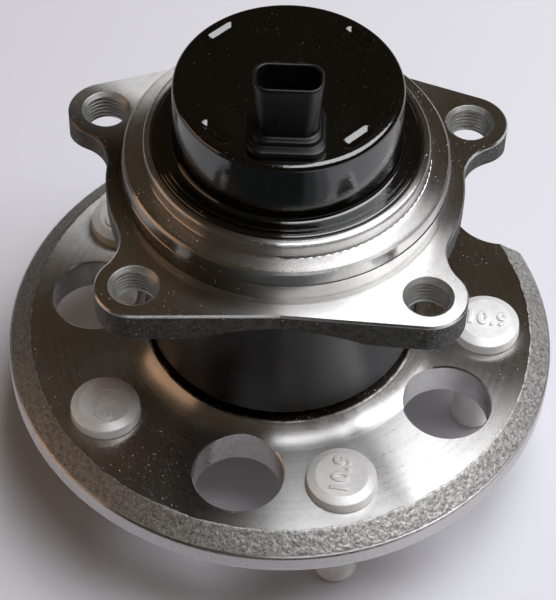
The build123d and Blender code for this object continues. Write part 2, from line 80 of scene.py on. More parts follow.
class Finish:
    # One material. node() adds any node, and set() feeds the Principled shader.
    def __init__(self, name, **plain):
        self.material = bpy.data.materials.new(name)
        self.material.use_nodes = True
        self.tree = self.material.node_tree
        self.shader = self.tree.nodes["Principled BSDF"]
        for socket, value in plain.items():
            self.set(socket.replace("_", " "), value)

    def node(self, kind, settings=None, values=(), output=0):
        made = self.tree.nodes.new(kind)
        for key, value in (settings or {}).items():
            setattr(made, key, value)
        pairs = values.items() if isinstance(values, dict) else enumerate(values)
        for key, value in pairs:
            self.join(made.inputs[key], value)
        return Wire(self, made.outputs[output])

    def join(self, socket, value):
        if isinstance(value, Wire):
            self.tree.links.new(value.socket, socket)
        elif socket.type == "RGBA":
            socket.default_value = (*value, 1.0)
        else:
            socket.default_value = value

    def set(self, socket, value):
        self.join(self.shader.inputs[socket], value)

    def place(self):
        # Object coordinates in millimetres, whole and as x, y, z
        spot = self.node("ShaderNodeTexCoord", output="Object")
        spot = self.node("ShaderNodeVectorMath", {"operation": "SCALE"}, {0: spot, "Scale": 1000.0})
        parts = [self.node("ShaderNodeSeparateXYZ", None, [spot], output=i) for i in range(3)]
        return (spot, *parts)

    def vector(self, x, y, z):
        return self.node("ShaderNodeCombineXYZ", None, [x, y, z])

    def blend(self, share, low, high):
        # Colour that goes from low to high as share goes from 0 to 1
        return self.node("ShaderNodeMix", {"data_type": "RGBA"}, {0: share, 6: low, 7: high}, output=2)

    def noise(self, spot, scale, detail=2.0, roughness=0.5, distortion=0.0):
        values = {"Vector": spot, "Scale": scale, "Detail": detail, "Roughness": roughness}
        values["Distortion"] = distortion
        return self.node("ShaderNodeTexNoise", None, values)

    def bump(self, height, distance=0.006):
        # normal = surface tilted by the slope of height * distance, with distance in millimetres
        values = {"Height": height, "Distance": distance * mm, "Strength": 1.0}
        return self.node("ShaderNodeBump", None, values)


def reach(x, y):
    # Distance from the wheel axis: sqrt(x^2 + y^2)
    square = x * x + y * y
    return square.math("SQRT", square)


def wear(obj, finish):
    # The object's only material becomes this finish
    obj.data.materials.clear()
    obj.data.materials.append(finish.material)


def quadRows(across, along, acrossClosed, alongClosed):
    # Corner numbers of the faces of a grid with across rows of along points
    i = np.arange(across if acrossClosed else across - 1)
    j = np.arange(along if alongClosed else along - 1)
    i, j = (a.ravel() for a in np.meshgrid(i, j, indexing="ij"))
    iNext, jNext = (i + 1) % across, (j + 1) % along
    return np.stack([i * along + j, iNext * along + j, iNext * along + jNext, i * along + jNext], 1)


def gridPart(points, acrossClosed=False, alongClosed=False):
    # A grid's points as one list, with the grid's faces
    across, along = points.shape[:2]
    return points.reshape(-1, 3), quadRows(across, along, acrossClosed, alongClosed)


def pieceFrom(name, parts, body, finish, smoothAngle=32.0):
    # One closed object from grids. Doubled points are merged, so seams and poles are closed.
    counts = np.cumsum([0] + [len(p) for p, _ in parts])
    points = np.concatenate([p for p, _ in parts]) * mm
    faces = np.concatenate([f + n for (_, f), n in zip(parts, counts)])
    mesh = bpy.data.meshes.new(name)
    mesh.from_pydata(points.tolist(), [], faces.tolist())
    return finishPiece(name, mesh, body, finish, smoothAngle)


def finishPiece(name, mesh, body, finish, smoothAngle=32.0, merge=1e-7):
    # Merges doubled points, turns the faces outward and keeps edges over smoothAngle degrees sharp
    solid = bmesh.new()
    solid.from_mesh(mesh)
    bmesh.ops.remove_doubles(solid, verts=solid.verts, dist=merge)
    bmesh.ops.dissolve_degenerate(solid, edges=solid.edges, dist=merge)
    bmesh.ops.recalc_face_normals(solid, faces=solid.faces)
    solid.to_mesh(mesh)
    solid.free()
    mesh.polygons.foreach_set("use_smooth", np.ones(len(mesh.polygons), bool))
    mesh.set_sharp_from_angle(angle=math.radians(smoothAngle))
    return showPiece(name, mesh, body, finish)


def solidCopy(node, name, move):
    # A solid's mesh with its doubled points merged, move(points) applied, and the solid's own
    # corner normals kept, so that its flats stay flat and its rounds smooth
    source = nodes[node].data
    points = np.zeros(len(source.vertices) * 3, np.float32)
    corners = np.zeros(len(source.loops), np.int32)
    normals = np.zeros(len(source.loops) * 3, np.float32)
    source.vertices.foreach_get("co", points)
    source.loops.foreach_get("vertex_index", corners)
    source.corner_normals.foreach_get("vector", normals)
    points = move(points.reshape(-1, 3).astype(float))
    _, first, merged = np.unique(np.round(points / 1e-7).astype(np.int64), axis=0,
                                 return_index=True, return_inverse=True)
    faces = merged.ravel()[corners].reshape(-1, 3)
    whole = (faces != np.roll(faces, 1, 1)).all(1)
    mesh = bpy.data.meshes.new(name)
    mesh.from_pydata(points[first].tolist(), [], faces[whole].tolist())
    mesh.polygons.foreach_set("use_smooth", np.ones(len(mesh.polygons), bool))
    mesh.normals_split_custom_set(normals.reshape(-1, 3, 3)[whole].reshape(-1, 3).tolist())
    return mesh


def showPiece(name, mesh, body, finish):
    # The mesh as a piece of the scene: it wears its finish and rides its body
    piece = bpy.data.objects.new(name, mesh)
    bpy.context.scene.collection.objects.link(piece)
    wear(piece, finish)
    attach(piece, body)
    return piece


def roundedPath(corners, steps=6):
    # Points along a line of (r, z, rounding) corners. Each rounded corner is an arc tangent to
    # both of its sides, worked out from the half angle between them.
    path = []
    spots = np.array([c[:2] for c in corners], float)
    for k, (r, z, rounding) in enumerate(corners):
        if rounding <= 0 or k in (0, len(corners) - 1):
            path.append([[r, z]])
            continue
        back, ahead = spots[k - 1] - spots[k], spots[k + 1] - spots[k]
        back, ahead = back / np.linalg.norm(back), ahead / np.linalg.norm(ahead)
        half = math.acos(np.clip(back @ ahead, -1, 1)) / 2
        middle = spots[k] + (back + ahead) / np.linalg.norm(back + ahead) * rounding / math.sin(half)
        start = spots[k] + back * rounding / math.tan(half)
        end = spots[k] + ahead * rounding / math.tan(half)
        a, b = start - middle, end - middle
        turn = np.linspace(0, 1, steps + 1)[:, None]
        full = math.pi - 2 * half
        arc = (np.sin((1 - turn) * full) * a + np.sin(turn * full) * b) / math.sin(full)
        path.append((middle + arc).tolist())
    return np.concatenate(path)


def turnedPart(path, segments):
    # x = r cos(angle), y = r sin(angle), z from the path
    angle = np.linspace(0, 2 * np.pi, segments, endpoint=False)[:, None]
    r, z = path[:, 0][None, :], path[:, 1][None, :]
    return gridPart(np.stack([r * np.cos(angle), r * np.sin(angle), z + 0 * angle], 2), True)


def lattice(x, y, cell, seed):
    # Smooth random field from -1 to 1: random numbers on a square lattice, eased between its points
    table = np.random.default_rng(seed).uniform(-1, 1, (256, 256))
    u, v = x / cell, y / cell
    i, j = np.floor(u).astype(int), np.floor(v).astype(int)
    a, b = u - i, v - j
    a, b = a * a * (3 - 2 * a), b * b * (3 - 2 * b)
    pick = lambda p, q: table[p % 256, q % 256]
    low = pick(i, j) * (1 - a) + pick(i + 1, j) * a
    high = pick(i, j + 1) * (1 - a) + pick(i + 1, j + 1) * a
    return low * (1 - b) + high * b


# Turned and forged steel of the hub and the outer ring. The lathe leaves rings round the axis.
steelLook = {
    "bright": (0.66, 0.655, 0.65),
    "dull": (0.54, 0.53, 0.52),
    "turnedRough": 0.29,
    "anisotropy": 0.95,
    "forged": (0.050, 0.050, 0.047),
    "forgedPale": (0.125, 0.125, 0.120),
    # Darker brown of the left ear, and painted shade on the pilot's wall at the left
    "leftDarkColour": (0.13, 0.108, 0.088),
    "oxide": (0.002, 0.002, 0.002),
    "oxidePale": (0.020, 0.020, 0.021),
    "oxideBrown": (0.028, 0.016, 0.008),
    "stain": (0.10, 0.068, 0.046),
    # Painted shade of the ring at the barrel's foot
    "barrelShade": (0.022, 0.018, 0.015),
    "dust": (0.90, 0.90, 0.88),
    # Edges of its zones in mm, as (0 at, 1 at). Names that end in R are radii, the one for the painted shade
    # at the barrel's foot that ends in MinusR is for minus the radius, bandLine is for z + radius *
    # bandSlope, and the others are heights.
    "coveLow": (9.0, 11.5),
    "coveTop": (14.6, 15.2),
    "coveR": (38.0, 42.0),
    "barrelShadeMinusR": (-37.2, -36.5),
    "pilotLow": (70.6, 71.4),
    "pilotTop": (79.6, 80.4),
    "pilotInnerR": (41.8, 41.9),
    "pilotOuterR": (42.8, 43.0),
    "bandInnerR": (69.8, 70.2),
    "bandOuterR": (74.9, 75.4),
    "bandSlope": 0.717,
    "bandLine": (59.7, 60.2),
    "flangeTop": (69.1, 69.4),
    "flangeLow": (54.0, 57.0),
    "barrelR": (33.7, 34.2),
    "barrelLow": (17.3, 17.7),
    "earTop": (70.5, 71.5),
    # Painted shade on the pilot's wall at the left
    "wallShadeLow": (70.8, 71.5),
    "wallShadeTop": (80.0, 80.4),
    "wallShadeInnerR": (41.7, 41.9),
}


def turnedSteel(name, forgedMask, oxideMask=None, leftDarkMask=None, look=steelLook):
    # Each value is turned * (1 - mask) + forged * mask, and then the same again with the oxide
    finish = Finish(name, Anisotropic=look["anisotropy"], Anisotropic_Rotation=0.25)
    spot, x, y, z = finish.place()
    r = reach(x, y)
    # Lathe lines and bands by radius and height, slow patches of tone, and dust in loose groups
    rings = finish.noise(finish.vector(r, z, 0.0), 1.3, 4.0, 0.65)
    bands = finish.noise(finish.vector(r, z, 7.0), 0.35, 2.0, 0.5)
    patch = finish.noise(spot, 0.06, 3.0, 0.6)
    fine = finish.noise(spot, 2.6, 2.0, 0.6)
    speckle = finish.noise(spot, 0.75, 5.0, 0.8)
    dust = finish.noise(spot, 1.6, 2.0, 0.7).rise(0.675, 0.70)
    dust = dust * finish.noise(spot, 0.07, 2.0, 0.5).rise(0.44, 0.52)
    tone = (rings * 0.3 + patch * 0.25 + bands * 0.15 + speckle * 0.3).rise(0.38, 0.60)
    colour = finish.blend(tone, look["dull"], look["bright"])
    rough = look["turnedRough"] + (rings - 0.5) * 0.10 + (patch - 0.5) * 0.10 + (speckle - 0.5) * 0.07
    # The mask darkens the left ear, and on the pilot's wall at the left it is painted shade for the shadowed
    # floor the wall reflects
    if leftDarkMask is not None:
        leftDark = leftDarkMask(x, y, z, r)
        colour = finish.blend(leftDark * (0.8 + patch * 0.3), colour, look["leftDarkColour"])
    # Brown stains where the barrel stands over the cove, and painted shade: a black ring on the cove round
    # the barrel's foot, for the barrel's shadow and its dark reflection
    blot = finish.noise(spot, 0.16, 5.0, 0.7, 0.6)
    low = z.rise(*look["coveLow"]) * (1 - z.rise(*look["coveTop"]))
    near = (1 - r.rise(*look["coveR"])) * low * x.rise(-12.0, 14.0)
    stain = (blot + near * 0.16).rise(0.54, 0.72) * near
    colour = finish.blend(stain * 0.6, colour, look["stain"])
    barrelShade = (blot * 1.6 - r).rise(*look["barrelShadeMinusR"]) * low
    colour = finish.blend(barrelShade, colour, look["barrelShade"])
    rough = rough + stain * 0.15
    # The pilot's wall is smoother
    wall = z.rise(*look["pilotLow"]) * (1 - z.rise(*look["pilotTop"]))
    wall = wall * r.rise(*look["pilotInnerR"]) * (1 - r.rise(*look["pilotOuterR"]))
    rough = rough - wall * 0.12
    height = fine * 0.25 + bands * 0.3
    mask = forgedMask(z, r)
    grain = finish.noise(spot, 1.0, 5.0, 0.72)
    pits = finish.noise(spot, 0.40, 3.0, 0.6)
    scale = (grain * 0.7 + pits * 0.3).rise(0.38, 0.62)
    forged = finish.blend(scale, look["forged"], look["forgedPale"])
    colour = finish.blend(mask, colour, forged)
    rough = rough * (1 - mask) + (0.36 + grain * 0.25) * mask
    height = height * (1 - mask) + (grain * 5.0 + pits * 6.0) * mask
    metal = 1 - (mask * 0.35).most(dust * 0.9)
    colour = finish.blend(dust * 0.8, colour, look["dust"])
    if oxideMask is not None:
        oxide = oxideMask(z, r)
        mottle = finish.noise(spot, 0.12, 4.0, 0.65)
        cloud = (mottle * 0.7 + fine * 0.3).rise(0.42, 0.72)
        dark = finish.blend(cloud, look["oxide"], look["oxidePale"])
        brown = finish.noise(finish.vector(0.0, 0.0, z), 0.22, 3.0, 0.6).rise(0.45, 0.65)
        brown = brown * z.rise(30.0, 50.0)
        dark = finish.blend(brown * 0.7, dark, look["oxideBrown"])
        colour = finish.blend(oxide, colour, dark)
        rough = rough * (1 - oxide) + (0.15 + mottle * 0.16) * oxide
        metal = metal * (1 - oxide)
        height = height * (1 - oxide) + (fine * 14.0 + grain * 10.0) * oxide
    finish.set("Base Color", colour)
    finish.set("Metallic", metal)
    finish.set("Roughness", rough)
    finish.set("Normal", finish.bump(height))
    return finish


def hubForged(z, r, look=steelLook):
    # The sloping band round the rim: between its radii, and above the line z + radius * slope
    band = r.rise(*look["bandInnerR"]) * (1 - r.rise(*look["bandOuterR"]))
    return band * (z + r * look["bandSlope"]).rise(*look["bandLine"])


def ringForged(z, r, look=steelLook):
    # Sides and underside of the flange: below its top and above its lowest, at every radius
    return (1 - z.rise(*look["flangeTop"])) * z.rise(*look["flangeLow"])


def ringOxide(z, r, look=steelLook):
    # The barrel's outside: below the flange, above the barrel's foot, and outside its radius
    barrel = (1 - z.rise(*look["flangeLow"])) * r.rise(*look["barrelR"])
    return barrel * z.rise(*look["barrelLow"])


def ringLeftDark(x, y, z, r, look=steelLook):
    # Darker brown on the left ear, and painted shade on the pilot's wall at the left, where it stands for the
    # shadowed floor that the wall reflects
    ear = (x * -0.60 - y).rise(-5.0, 5.0) * y.rise(-25.0, 5.0) * (1 - z.rise(*look["earTop"]))
    wall = z.rise(*look["wallShadeLow"]) * (1 - z.rise(*look["wallShadeTop"])) * r.rise(*look["wallShadeInnerR"])
    wall = wall * (x * -1.0).rise(0.0, 16.0)
    return ear.most(wall * 0.75)


hubSteel = turnedSteel("hubSteel", hubForged)
ringSteel = turnedSteel("ringSteel", ringForged, ringOxide, ringLeftDark)
wear(nodes["hub_spindle"], hubSteel)


# Outer ring: the solid's own mesh, with the four bores opened to the root of their thread
boltHoles = {
    "circle": 53.0,
    "closeHalf": 43.5,
    "farHalf": 65.6,
    "face": 70.0,
    "underside": 60.5,
    "crest": 5.35,
    "root": 5.78,
    "mouth": 6.5,
    "pitch": 1.25,
    "wallNear": 0.03,
    "mouthRim": 0.03,
    "gap": 0.02,
    "fadeFrom": 1.2,
    "fadeOver": 0.8,
}


def boltSpots(look=boltHoles):
    # Middles of the bores: circle * (cos, sin) of -90 -+ closeHalf and of 90 -+ farHalf
    angles = np.radians([-90 - look["closeHalf"], -90 + look["closeHalf"],
                         90 - look["farHalf"], 90 + look["farHalf"]])
    return look["circle"] * np.stack([np.cos(angles), np.sin(angles)], 1)


def openBores(points, look=boltHoles):
    # Points on the wall of a bore move out to the thread's root: spot + away / distance * root
    for spot in boltSpots():
        away = points[:, :2] - spot * mm
        distance = np.linalg.norm(away, axis=1)
        wall = np.abs(distance - look["crest"] * mm) < look["wallNear"] * mm
        points[wall, :2] = spot * mm + away[wall] / distance[wall, None] * look["root"] * mm
    return points


def makeOuterRing():
    # The solid's mesh with opened bores
    mesh = solidCopy("outer_ring", "outerRing", openBores)
    ring = showPiece("outer_ring_steel", mesh, "knuckle_side", ringSteel)
    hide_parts("outer_ring")


def threadDepth(turns, flat=0.12):
    # From 0 at the crest to 1 at the root, and back, over one pitch, with short flats at both
    saw = np.abs((turns % 1.0) * 2 - 1)
    return np.clip((saw - flat) / (1 - 2 * flat), 0, 1)


def makeHoleThreads(look=boltHoles, segments=72, step=0.1):
    # Inner wall: r = root - depth where the thread stands in, cut back by the 45 degree mouths
    z = np.arange(look["underside"] + look["gap"], look["face"] - look["gap"] / 2, step)
    angle = np.linspace(0, 2 * np.pi, segments, endpoint=False)
    turns = z[None, :] / look["pitch"] - angle[:, None] / (2 * np.pi)
    away = np.minimum(look["face"] - z, z - look["underside"])
    fade = np.clip((away - look["fadeFrom"]) / look["fadeOver"], 0, 1)
    inner = look["crest"] + (look["root"] - look["crest"]) * threadDepth(turns) * fade
    inner = np.maximum(inner, (look["mouth"] - look["mouthRim"] - away)[None, :])
    r = np.concatenate([inner, np.full((segments, 2), look["mouth"])], 1)
    height = np.concatenate([z, [look["face"] - look["gap"], look["underside"] + look["gap"]]])
    parts = []
    for spot in boltSpots():
        points = np.stack([spot[0] + r * np.cos(angle)[:, None], spot[1] + r * np.sin(angle)[:, None],
                           np.broadcast_to(height, r.shape)], 2)
        parts.append(gridPart(points, True, True))
    pieceFrom("bolt_hole_threads", parts, "knuckle_side", threadSteel)


# Wheel studs
studs = {
    "circle": 57.15,
    "first": 216.0,
    "count": 5,
    "face": 10.5,
    "headR": 9.6,
    "headTop": 4.2,
    "flatR": 7.0,
    "edge": 3.1,
    "threadR": 6.0,
    "threadDepth": 0.9,
    "pitch": 1.5,
    "tip": -30.5,
    "tipR": 4.2,
    "tipSlope": 0.82,
    "threadEnd": -4.0,
    "runOut": 1.5,
    "numbers": "10.9",
    "numberTurns": (-98, 84, -6, 100, -150),
    "numberSize": 6.4,
    "numberHalf": 0.46,
    "numberBold": 0.10,
    "numberBevel": 0.14,
    "numberSpacing": 1.12,
    "numberLift": 0.02,
}


def makeStuds(look=studs, segments=60, step=0.14):
    # Head and shank are turned, and the thread is r = outside - depth(height / pitch - turn)
    head = roundedPath([(0, look["face"] + look["headTop"], 0),
                        (look["flatR"], look["face"] + look["headTop"], 0.25),
                        (look["headR"] - 0.3, look["face"] + look["edge"], 0.45),
                        (look["headR"], look["face"] + 0.3, 0.2),
                        (look["headR"] - 0.35, look["face"] - 0.1, 0),
                        (look["threadR"], look["face"] - 0.3, 0),
                        (look["threadR"], look["threadEnd"], 0)], 5)
    z = np.arange(look["threadEnd"] - step, look["tip"], -step)
    run = np.concatenate([head[:, 1], z, [look["tip"], look["tip"]]])
    base = np.concatenate([head[:, 0], np.full(len(z), look["threadR"]), [look["tipR"], 0.0]])
    angle = np.linspace(0, 2 * np.pi, segments, endpoint=False)[:, None]
    depth = look["threadDepth"] * threadDepth(run[None, :] / look["pitch"] - angle / (2 * np.pi))
    fade = np.clip((look["threadEnd"] - run) / (look["runOut"] * look["pitch"]), 0, 1)[None, :]
    taper = look["tipR"] + (run - look["tip"]) * look["tipSlope"]
    r = base[None, :] - depth * fade * (base[None, :] > 1)
    r = np.where((run < look["threadEnd"])[None, :], np.minimum(r, taper[None, :]), r)
    r[:, -1] = 0
    parts = []
    for k in range(look["count"]):
        turn = math.radians(look["first"] + k * 360 / look["count"])
        x, y = look["circle"] * math.cos(turn), look["circle"] * math.sin(turn)
        points = np.stack([x + r * np.cos(angle), y + r * np.sin(angle), np.broadcast_to(run, r.shape)], 2)
        parts.append(gridPart(points, True, False))
    made = pieceFrom("threaded_studs", parts, "wheel_hub", studZinc, 28.0)
    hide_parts("wheel_studs")


def makeStudNumbers(look=studs):
    # The property class, raised on each head
    text = bpy.data.curves.new("studNumber", "FONT")
    text.body, text.size, text.extrude = look["numbers"], look["numberSize"] * mm, look["numberHalf"] * mm
    text.offset, text.bevel_depth = look["numberBold"] * mm, look["numberBevel"] * mm
    text.bevel_resolution, text.resolution_u = 2, 4
    text.align_x, text.align_y, text.space_character = "CENTER", "CENTER", look["numberSpacing"]
    source = bpy.data.objects.new("studNumber", text)
    bpy.context.scene.collection.objects.link(source)
    bpy.context.view_layer.update()
    flat = bpy.data.meshes.new_from_object(source.evaluated_get(bpy.context.evaluated_depsgraph_get()))
    bpy.data.objects.remove(source)
    joined = bmesh.new()
    for k, turned in enumerate(look["numberTurns"]):
        turn = math.radians(look["first"] + k * 360 / look["count"])
        one = flat.copy()
        spot = Vector((math.cos(turn), math.sin(turn), 0)) * look["circle"] * mm
        spot.z = (look["face"] + look["headTop"] + look["numberLift"]) * mm
        one.transform(Matrix.Translation(spot) @ Matrix.Rotation(math.radians(turned), 4, "Z"))
        joined.from_mesh(one)
    mesh = bpy.data.meshes.new("studNumbers")
    joined.to_mesh(mesh)
    finishPiece("stud_numbers", mesh, "wheel_hub", studZinc, 40.0)


# Forged band round the rim, with its scaly grain
forgedBand = {
    "inner": 69.75,
    "outer": 75.99,
    "faceZ": 10.5,
    "slope": 4.3 / 6.0,
    "foldR": 70.0,
    "turn": 36.0,
    "floorCentre": 78.1,
    "floorR": 14.5,
    "cornerSpot": (70.0, 18.83),
    "cornerR": 6.0,
    "rimRound": 0.9,
    "grain": 0.09,
    # degrees from the scallop's middle: where the band starts, and where floor meets corner
    "start": 9.45,
    "touch": 10.43,
    "lift": 0.015,
    "swell": 0.03,
    "depth": 2.2,
    # (share, cell in mm, seed) of the fields that move the inner edge and lift the scale
    "wanders": ((0.18, 1.3, 5), (0.15, 4.0, 6)),
    "grains": ((0.7, 0.45, 1), (0.5, 0.8, 2), (0.25, 2.0, 3)),
    "dark": (0.19, 0.186, 0.175),
    "pale": (0.66, 0.655, 0.64),
    # Painted shade towards the left
    "dull": (0.085, 0.080, 0.066),
    "rim": (0.40, 0.40, 0.41),
}


def rimReach(t, look=forgedBand):
    # Radius of the rim's outline at angle t from the scallop's middle: the full rim, then the
    # rounded corner's circle, then the scallop's own circle
    t = np.abs(t)
    cornerAway = math.hypot(*look["cornerSpot"])
    off = math.atan2(look["cornerSpot"][1], look["cornerSpot"][0]) - t
    across = look["cornerR"] ** 2 - (cornerAway * np.sin(off)) ** 2
    corner = cornerAway * np.cos(off) + np.sqrt(np.maximum(across, 0))
    side = look["floorCentre"] * np.sin(t)
    inside = side < look["floorR"]
    floor = look["floorCentre"] * np.cos(t)
    floor = floor - np.sqrt(np.maximum(look["floorR"] ** 2 - side ** 2, 0))
    cornered = np.where(t < look["cornerSpot"][1] / look["cornerSpot"][0], corner, look["outer"])
    edge = np.where((t < math.radians(look["touch"])) & inside, floor, cornered)
    return np.minimum(edge - 0.03, look["outer"])


def makeForgedBand(look=forgedBand, across=1900, along=30):
    # z falls outward from the machined face, then drops round the rim by the quarter circle
    # round - sqrt(round^2 - (round - distance)^2). Random fields lift the points into scale.
    start = math.radians(look["start"])
    t = np.concatenate([np.linspace(start, start * 1.35, 60, endpoint=False),
                        np.linspace(start * 1.35, 2 * np.pi - start * 1.35, across, endpoint=False),
                        np.linspace(2 * np.pi - start * 1.35, 2 * np.pi - start, 61)])
    edge = rimReach(np.where(t > np.pi, 2 * np.pi - t, t))
    length = t * look["foldR"]
    wander = sum((w * lattice(length, 0 * t, cell, seed) for w, cell, seed in look["wanders"]), look["inner"])
    last = 0.9 + 0.1 * np.sin(np.linspace(0.15, 0.5, 6) * np.pi)
    share = np.concatenate([np.linspace(0, 0.9, along), last])[None, :]
    r = wander[:, None] + (edge - wander)[:, None] * share
    angle = t[:, None] + math.radians(look["turn"])
    x, y = r * np.cos(angle), r * np.sin(angle)
    fall = look["faceZ"] - look["slope"] * np.maximum(r - look["foldR"], 0)
    into = np.clip(look["rimRound"] - (edge[:, None] - r), 0, look["rimRound"])
    drop = look["rimRound"] - np.sqrt(look["rimRound"] ** 2 - into ** 2)
    grain = sum(lattice(x, y, cell, seed) * w for w, cell, seed in look["grains"])
    ease = np.clip(np.minimum(share * 6, (1 - share) * 12), 0, 1)
    swell = look["swell"] * np.clip(share * 6, 0, 1)
    z = fall - drop + look["lift"] + swell + look["grain"] * (0.3 + grain) * ease
    top = np.stack([x, y, z], 2)
    low = [np.stack([a * np.cos(angle), a * np.sin(angle), fall[:, [k]] - look["depth"]], 2)
           for a, k in ((r[:, -1:], -1), (r[:, :1] + 0.05, 0))]
    points = np.concatenate([top, *low], 1)
    pieceFrom("forged_rim_band", [gridPart(points, False, True)], "wheel_hub",
              bandSteel, 80.0)


def makeBandSteel(look=forgedBand):
    # Scaly forged steel with painted shade that darkens it towards the left, and grey and less metallic at
    # the very rim
    finish = Finish("bandSteel")
    spot, x, y, _ = finish.place()
    grain = finish.noise(spot, 1.9, 4.0, 0.75)
    pits = finish.noise(spot, 0.8, 3.0, 0.65)
    colour = finish.blend((grain * 0.6 + pits * 0.4).rise(0.36, 0.62), look["dark"], look["pale"])
    # Painted shade: the band is darkened towards the left
    dull = (x * -1.0 - y * 0.15).rise(-5.0, 65.0)
    colour = finish.blend(dull * 0.62, colour, look["dull"])
    edge = reach(x, y).rise(75.0, 75.7)
    finish.set("Base Color", finish.blend(edge, colour, look["rim"]))
    finish.set("Metallic", 0.7 - edge * 0.6)
    finish.set("Roughness", 0.38 + grain * 0.2)
    finish.set("Normal", finish.bump(grain * 8.0 + pits * 6.0))
    return finish


def makePlainSteel(name, colour, roughness, metal=1.0, low=0.72):
    # Zinc and cut thread: fine grain over slow clouds. low is the darkest tone's share of colour.
    finish = Finish(name, Metallic=metal)
    spot = finish.place()[0]
    grain = finish.noise(spot, 1.3, 4.0, 0.65)
    cloud = finish.noise(spot, 0.25, 3.0, 0.6)
    dark = tuple(c * low for c in colour)
    finish.set("Base Color", finish.blend((grain * 0.5 + cloud * 0.5).rise(0.3, 0.65), dark, colour))
    finish.set("Roughness", roughness + (cloud - 0.5) * 0.25)
    finish.set("Normal", finish.bump(grain * 4.0 + cloud * 4.0))
    return finish


threadSteel = makePlainSteel("threadSteel", (0.50, 0.50, 0.49), 0.48)
studZinc = makePlainSteel("studZinc", (0.99, 0.99, 0.99), 0.40, 0.22, 0.88)
bandSteel = makeBandSteel()
makeOuterRing()
makeHoleThreads()
makeStuds()
makeStudNumbers()
makeForgedBand()
print("hub, ring, studs and band made")


def makeCapBlack():
    # Glossy black coating with faint orange peel and a little dust
    finish = Finish("capBlack", Metallic=0.0, IOR=1.9)
    spot = finish.place()[0]
    peel = finish.noise(spot, 0.9, 3.0, 0.5)
    cloud = finish.noise(spot, 0.09, 3.0, 0.6)
    dust = finish.noise(spot, 1.7, 2.0, 0.7).rise(0.715, 0.745)
    finish.set("Base Color", finish.blend(dust, (0.0005, 0.0006, 0.0005), (0.10, 0.10, 0.09)))
    finish.set("Roughness", 0.12 + (cloud - 0.5) * 0.10 + dust * 0.4)
    finish.set("Normal", finish.bump(peel * 3.0 + cloud * 20.0 + dust * 3.0))
    return finish


def makeGrained(name, low, high, metal, roughness, cell=1.0, lift=4.0, lines=None):
    # Fine grain over slow clouds of tone. lines gives (direction, pitch) of faint tool marks.
    finish = Finish(name, Metallic=metal, Specular_IOR_Level=0.4)
    spot, x, y, z = finish.place()
    grain = finish.noise(spot, 1.6 / cell, 4.0, 0.65)
    cloud = finish.noise(spot, 0.25 / cell, 3.0, 0.6)
    tone, height = grain * 0.5 + cloud * 0.5, grain * lift + cloud * lift
    if lines is not None:
        along = {"height": z, "radius": reach(x, y)}[lines[0]]
        mark = (along * (2 * math.pi / lines[1]) + cloud * 3.0).sine() * 0.5 + 0.5
        tone, height = tone * 0.75 + mark * 0.25, height + mark * lift * 1.5
    finish.set("Base Color", finish.blend(tone.rise(0.34, 0.66), low, high))
    finish.set("Roughness", roughness + (cloud - 0.5) * 0.2 + (grain - 0.5) * 0.1)
    finish.set("Normal", finish.bump(height))
    return finish


capBlack = makeCapBlack()
moulded = makeGrained("mouldedPlastic", (0.0022, 0.0023, 0.0025), (0.005, 0.0052, 0.0057), 0.0, 0.33, 0.6)
# Nodes that keep their solid's mesh. alike names those that wear another's finish.
inside = {
    "inner_ring": makeGrained("groundRace", (0.42, 0.42, 0.41), (0.58, 0.58, 0.57), 1.0, 0.20, 0.8, 2.0,
                              ("height", 0.7)),
    "lock_nut": makeGrained("nutSteel", (0.20, 0.19, 0.16), (0.42, 0.40, 0.34), 1.0, 0.36, 1.0, 5.0),
    "outboard_balls": makeGrained("ballSteel", (0.60, 0.60, 0.60), (0.68, 0.68, 0.68), 1.0, 0.10, 1.5, 0.4),
    "outboard_cage": makeGrained("cagePlastic", (0.055, 0.030, 0.012), (0.13, 0.075, 0.032), 0.0, 0.45, 1.0),
    "seal_case": makeGrained("pressedSteel", (0.30, 0.30, 0.29), (0.50, 0.50, 0.49), 1.0, 0.34, 1.2, 3.0,
                             ("radius", 0.9)),
    "seal_lip": makeGrained("sealRubber", (0.006, 0.006, 0.006), (0.018, 0.018, 0.018), 0.0, 0.62, 0.5, 6.0),
    "coil_bobbin": makeGrained("bobbinPlastic", (0.010, 0.010, 0.011), (0.028, 0.028, 0.030), 0.0, 0.5, 0.8),
    "sensor_coil": makeGrained("windings", (0.28, 0.085, 0.030), (0.62, 0.24, 0.10), 1.0, 0.30, 1.0, 6.0,
                               ("height", 0.30)),
    "sensor_magnet": makeGrained("ferrite", (0.012, 0.012, 0.012), (0.035, 0.034, 0.033), 0.1, 0.7, 0.7, 8.0),
    "connector_terminals": makeGrained("terminalTin", (0.34, 0.33, 0.31), (0.60, 0.59, 0.56), 1.0, 0.3,
                                       0.6, 2.0),
}
alike = {"inboard_balls": "outboard_balls", "inboard_cage": "outboard_cage", "seal_slinger": "seal_case",
         "tone_ring": "seal_case", "pole_ring": "seal_case"}
for name in [*inside, *alike]:
    wear(nodes[name], inside[alike.get(name, name)])


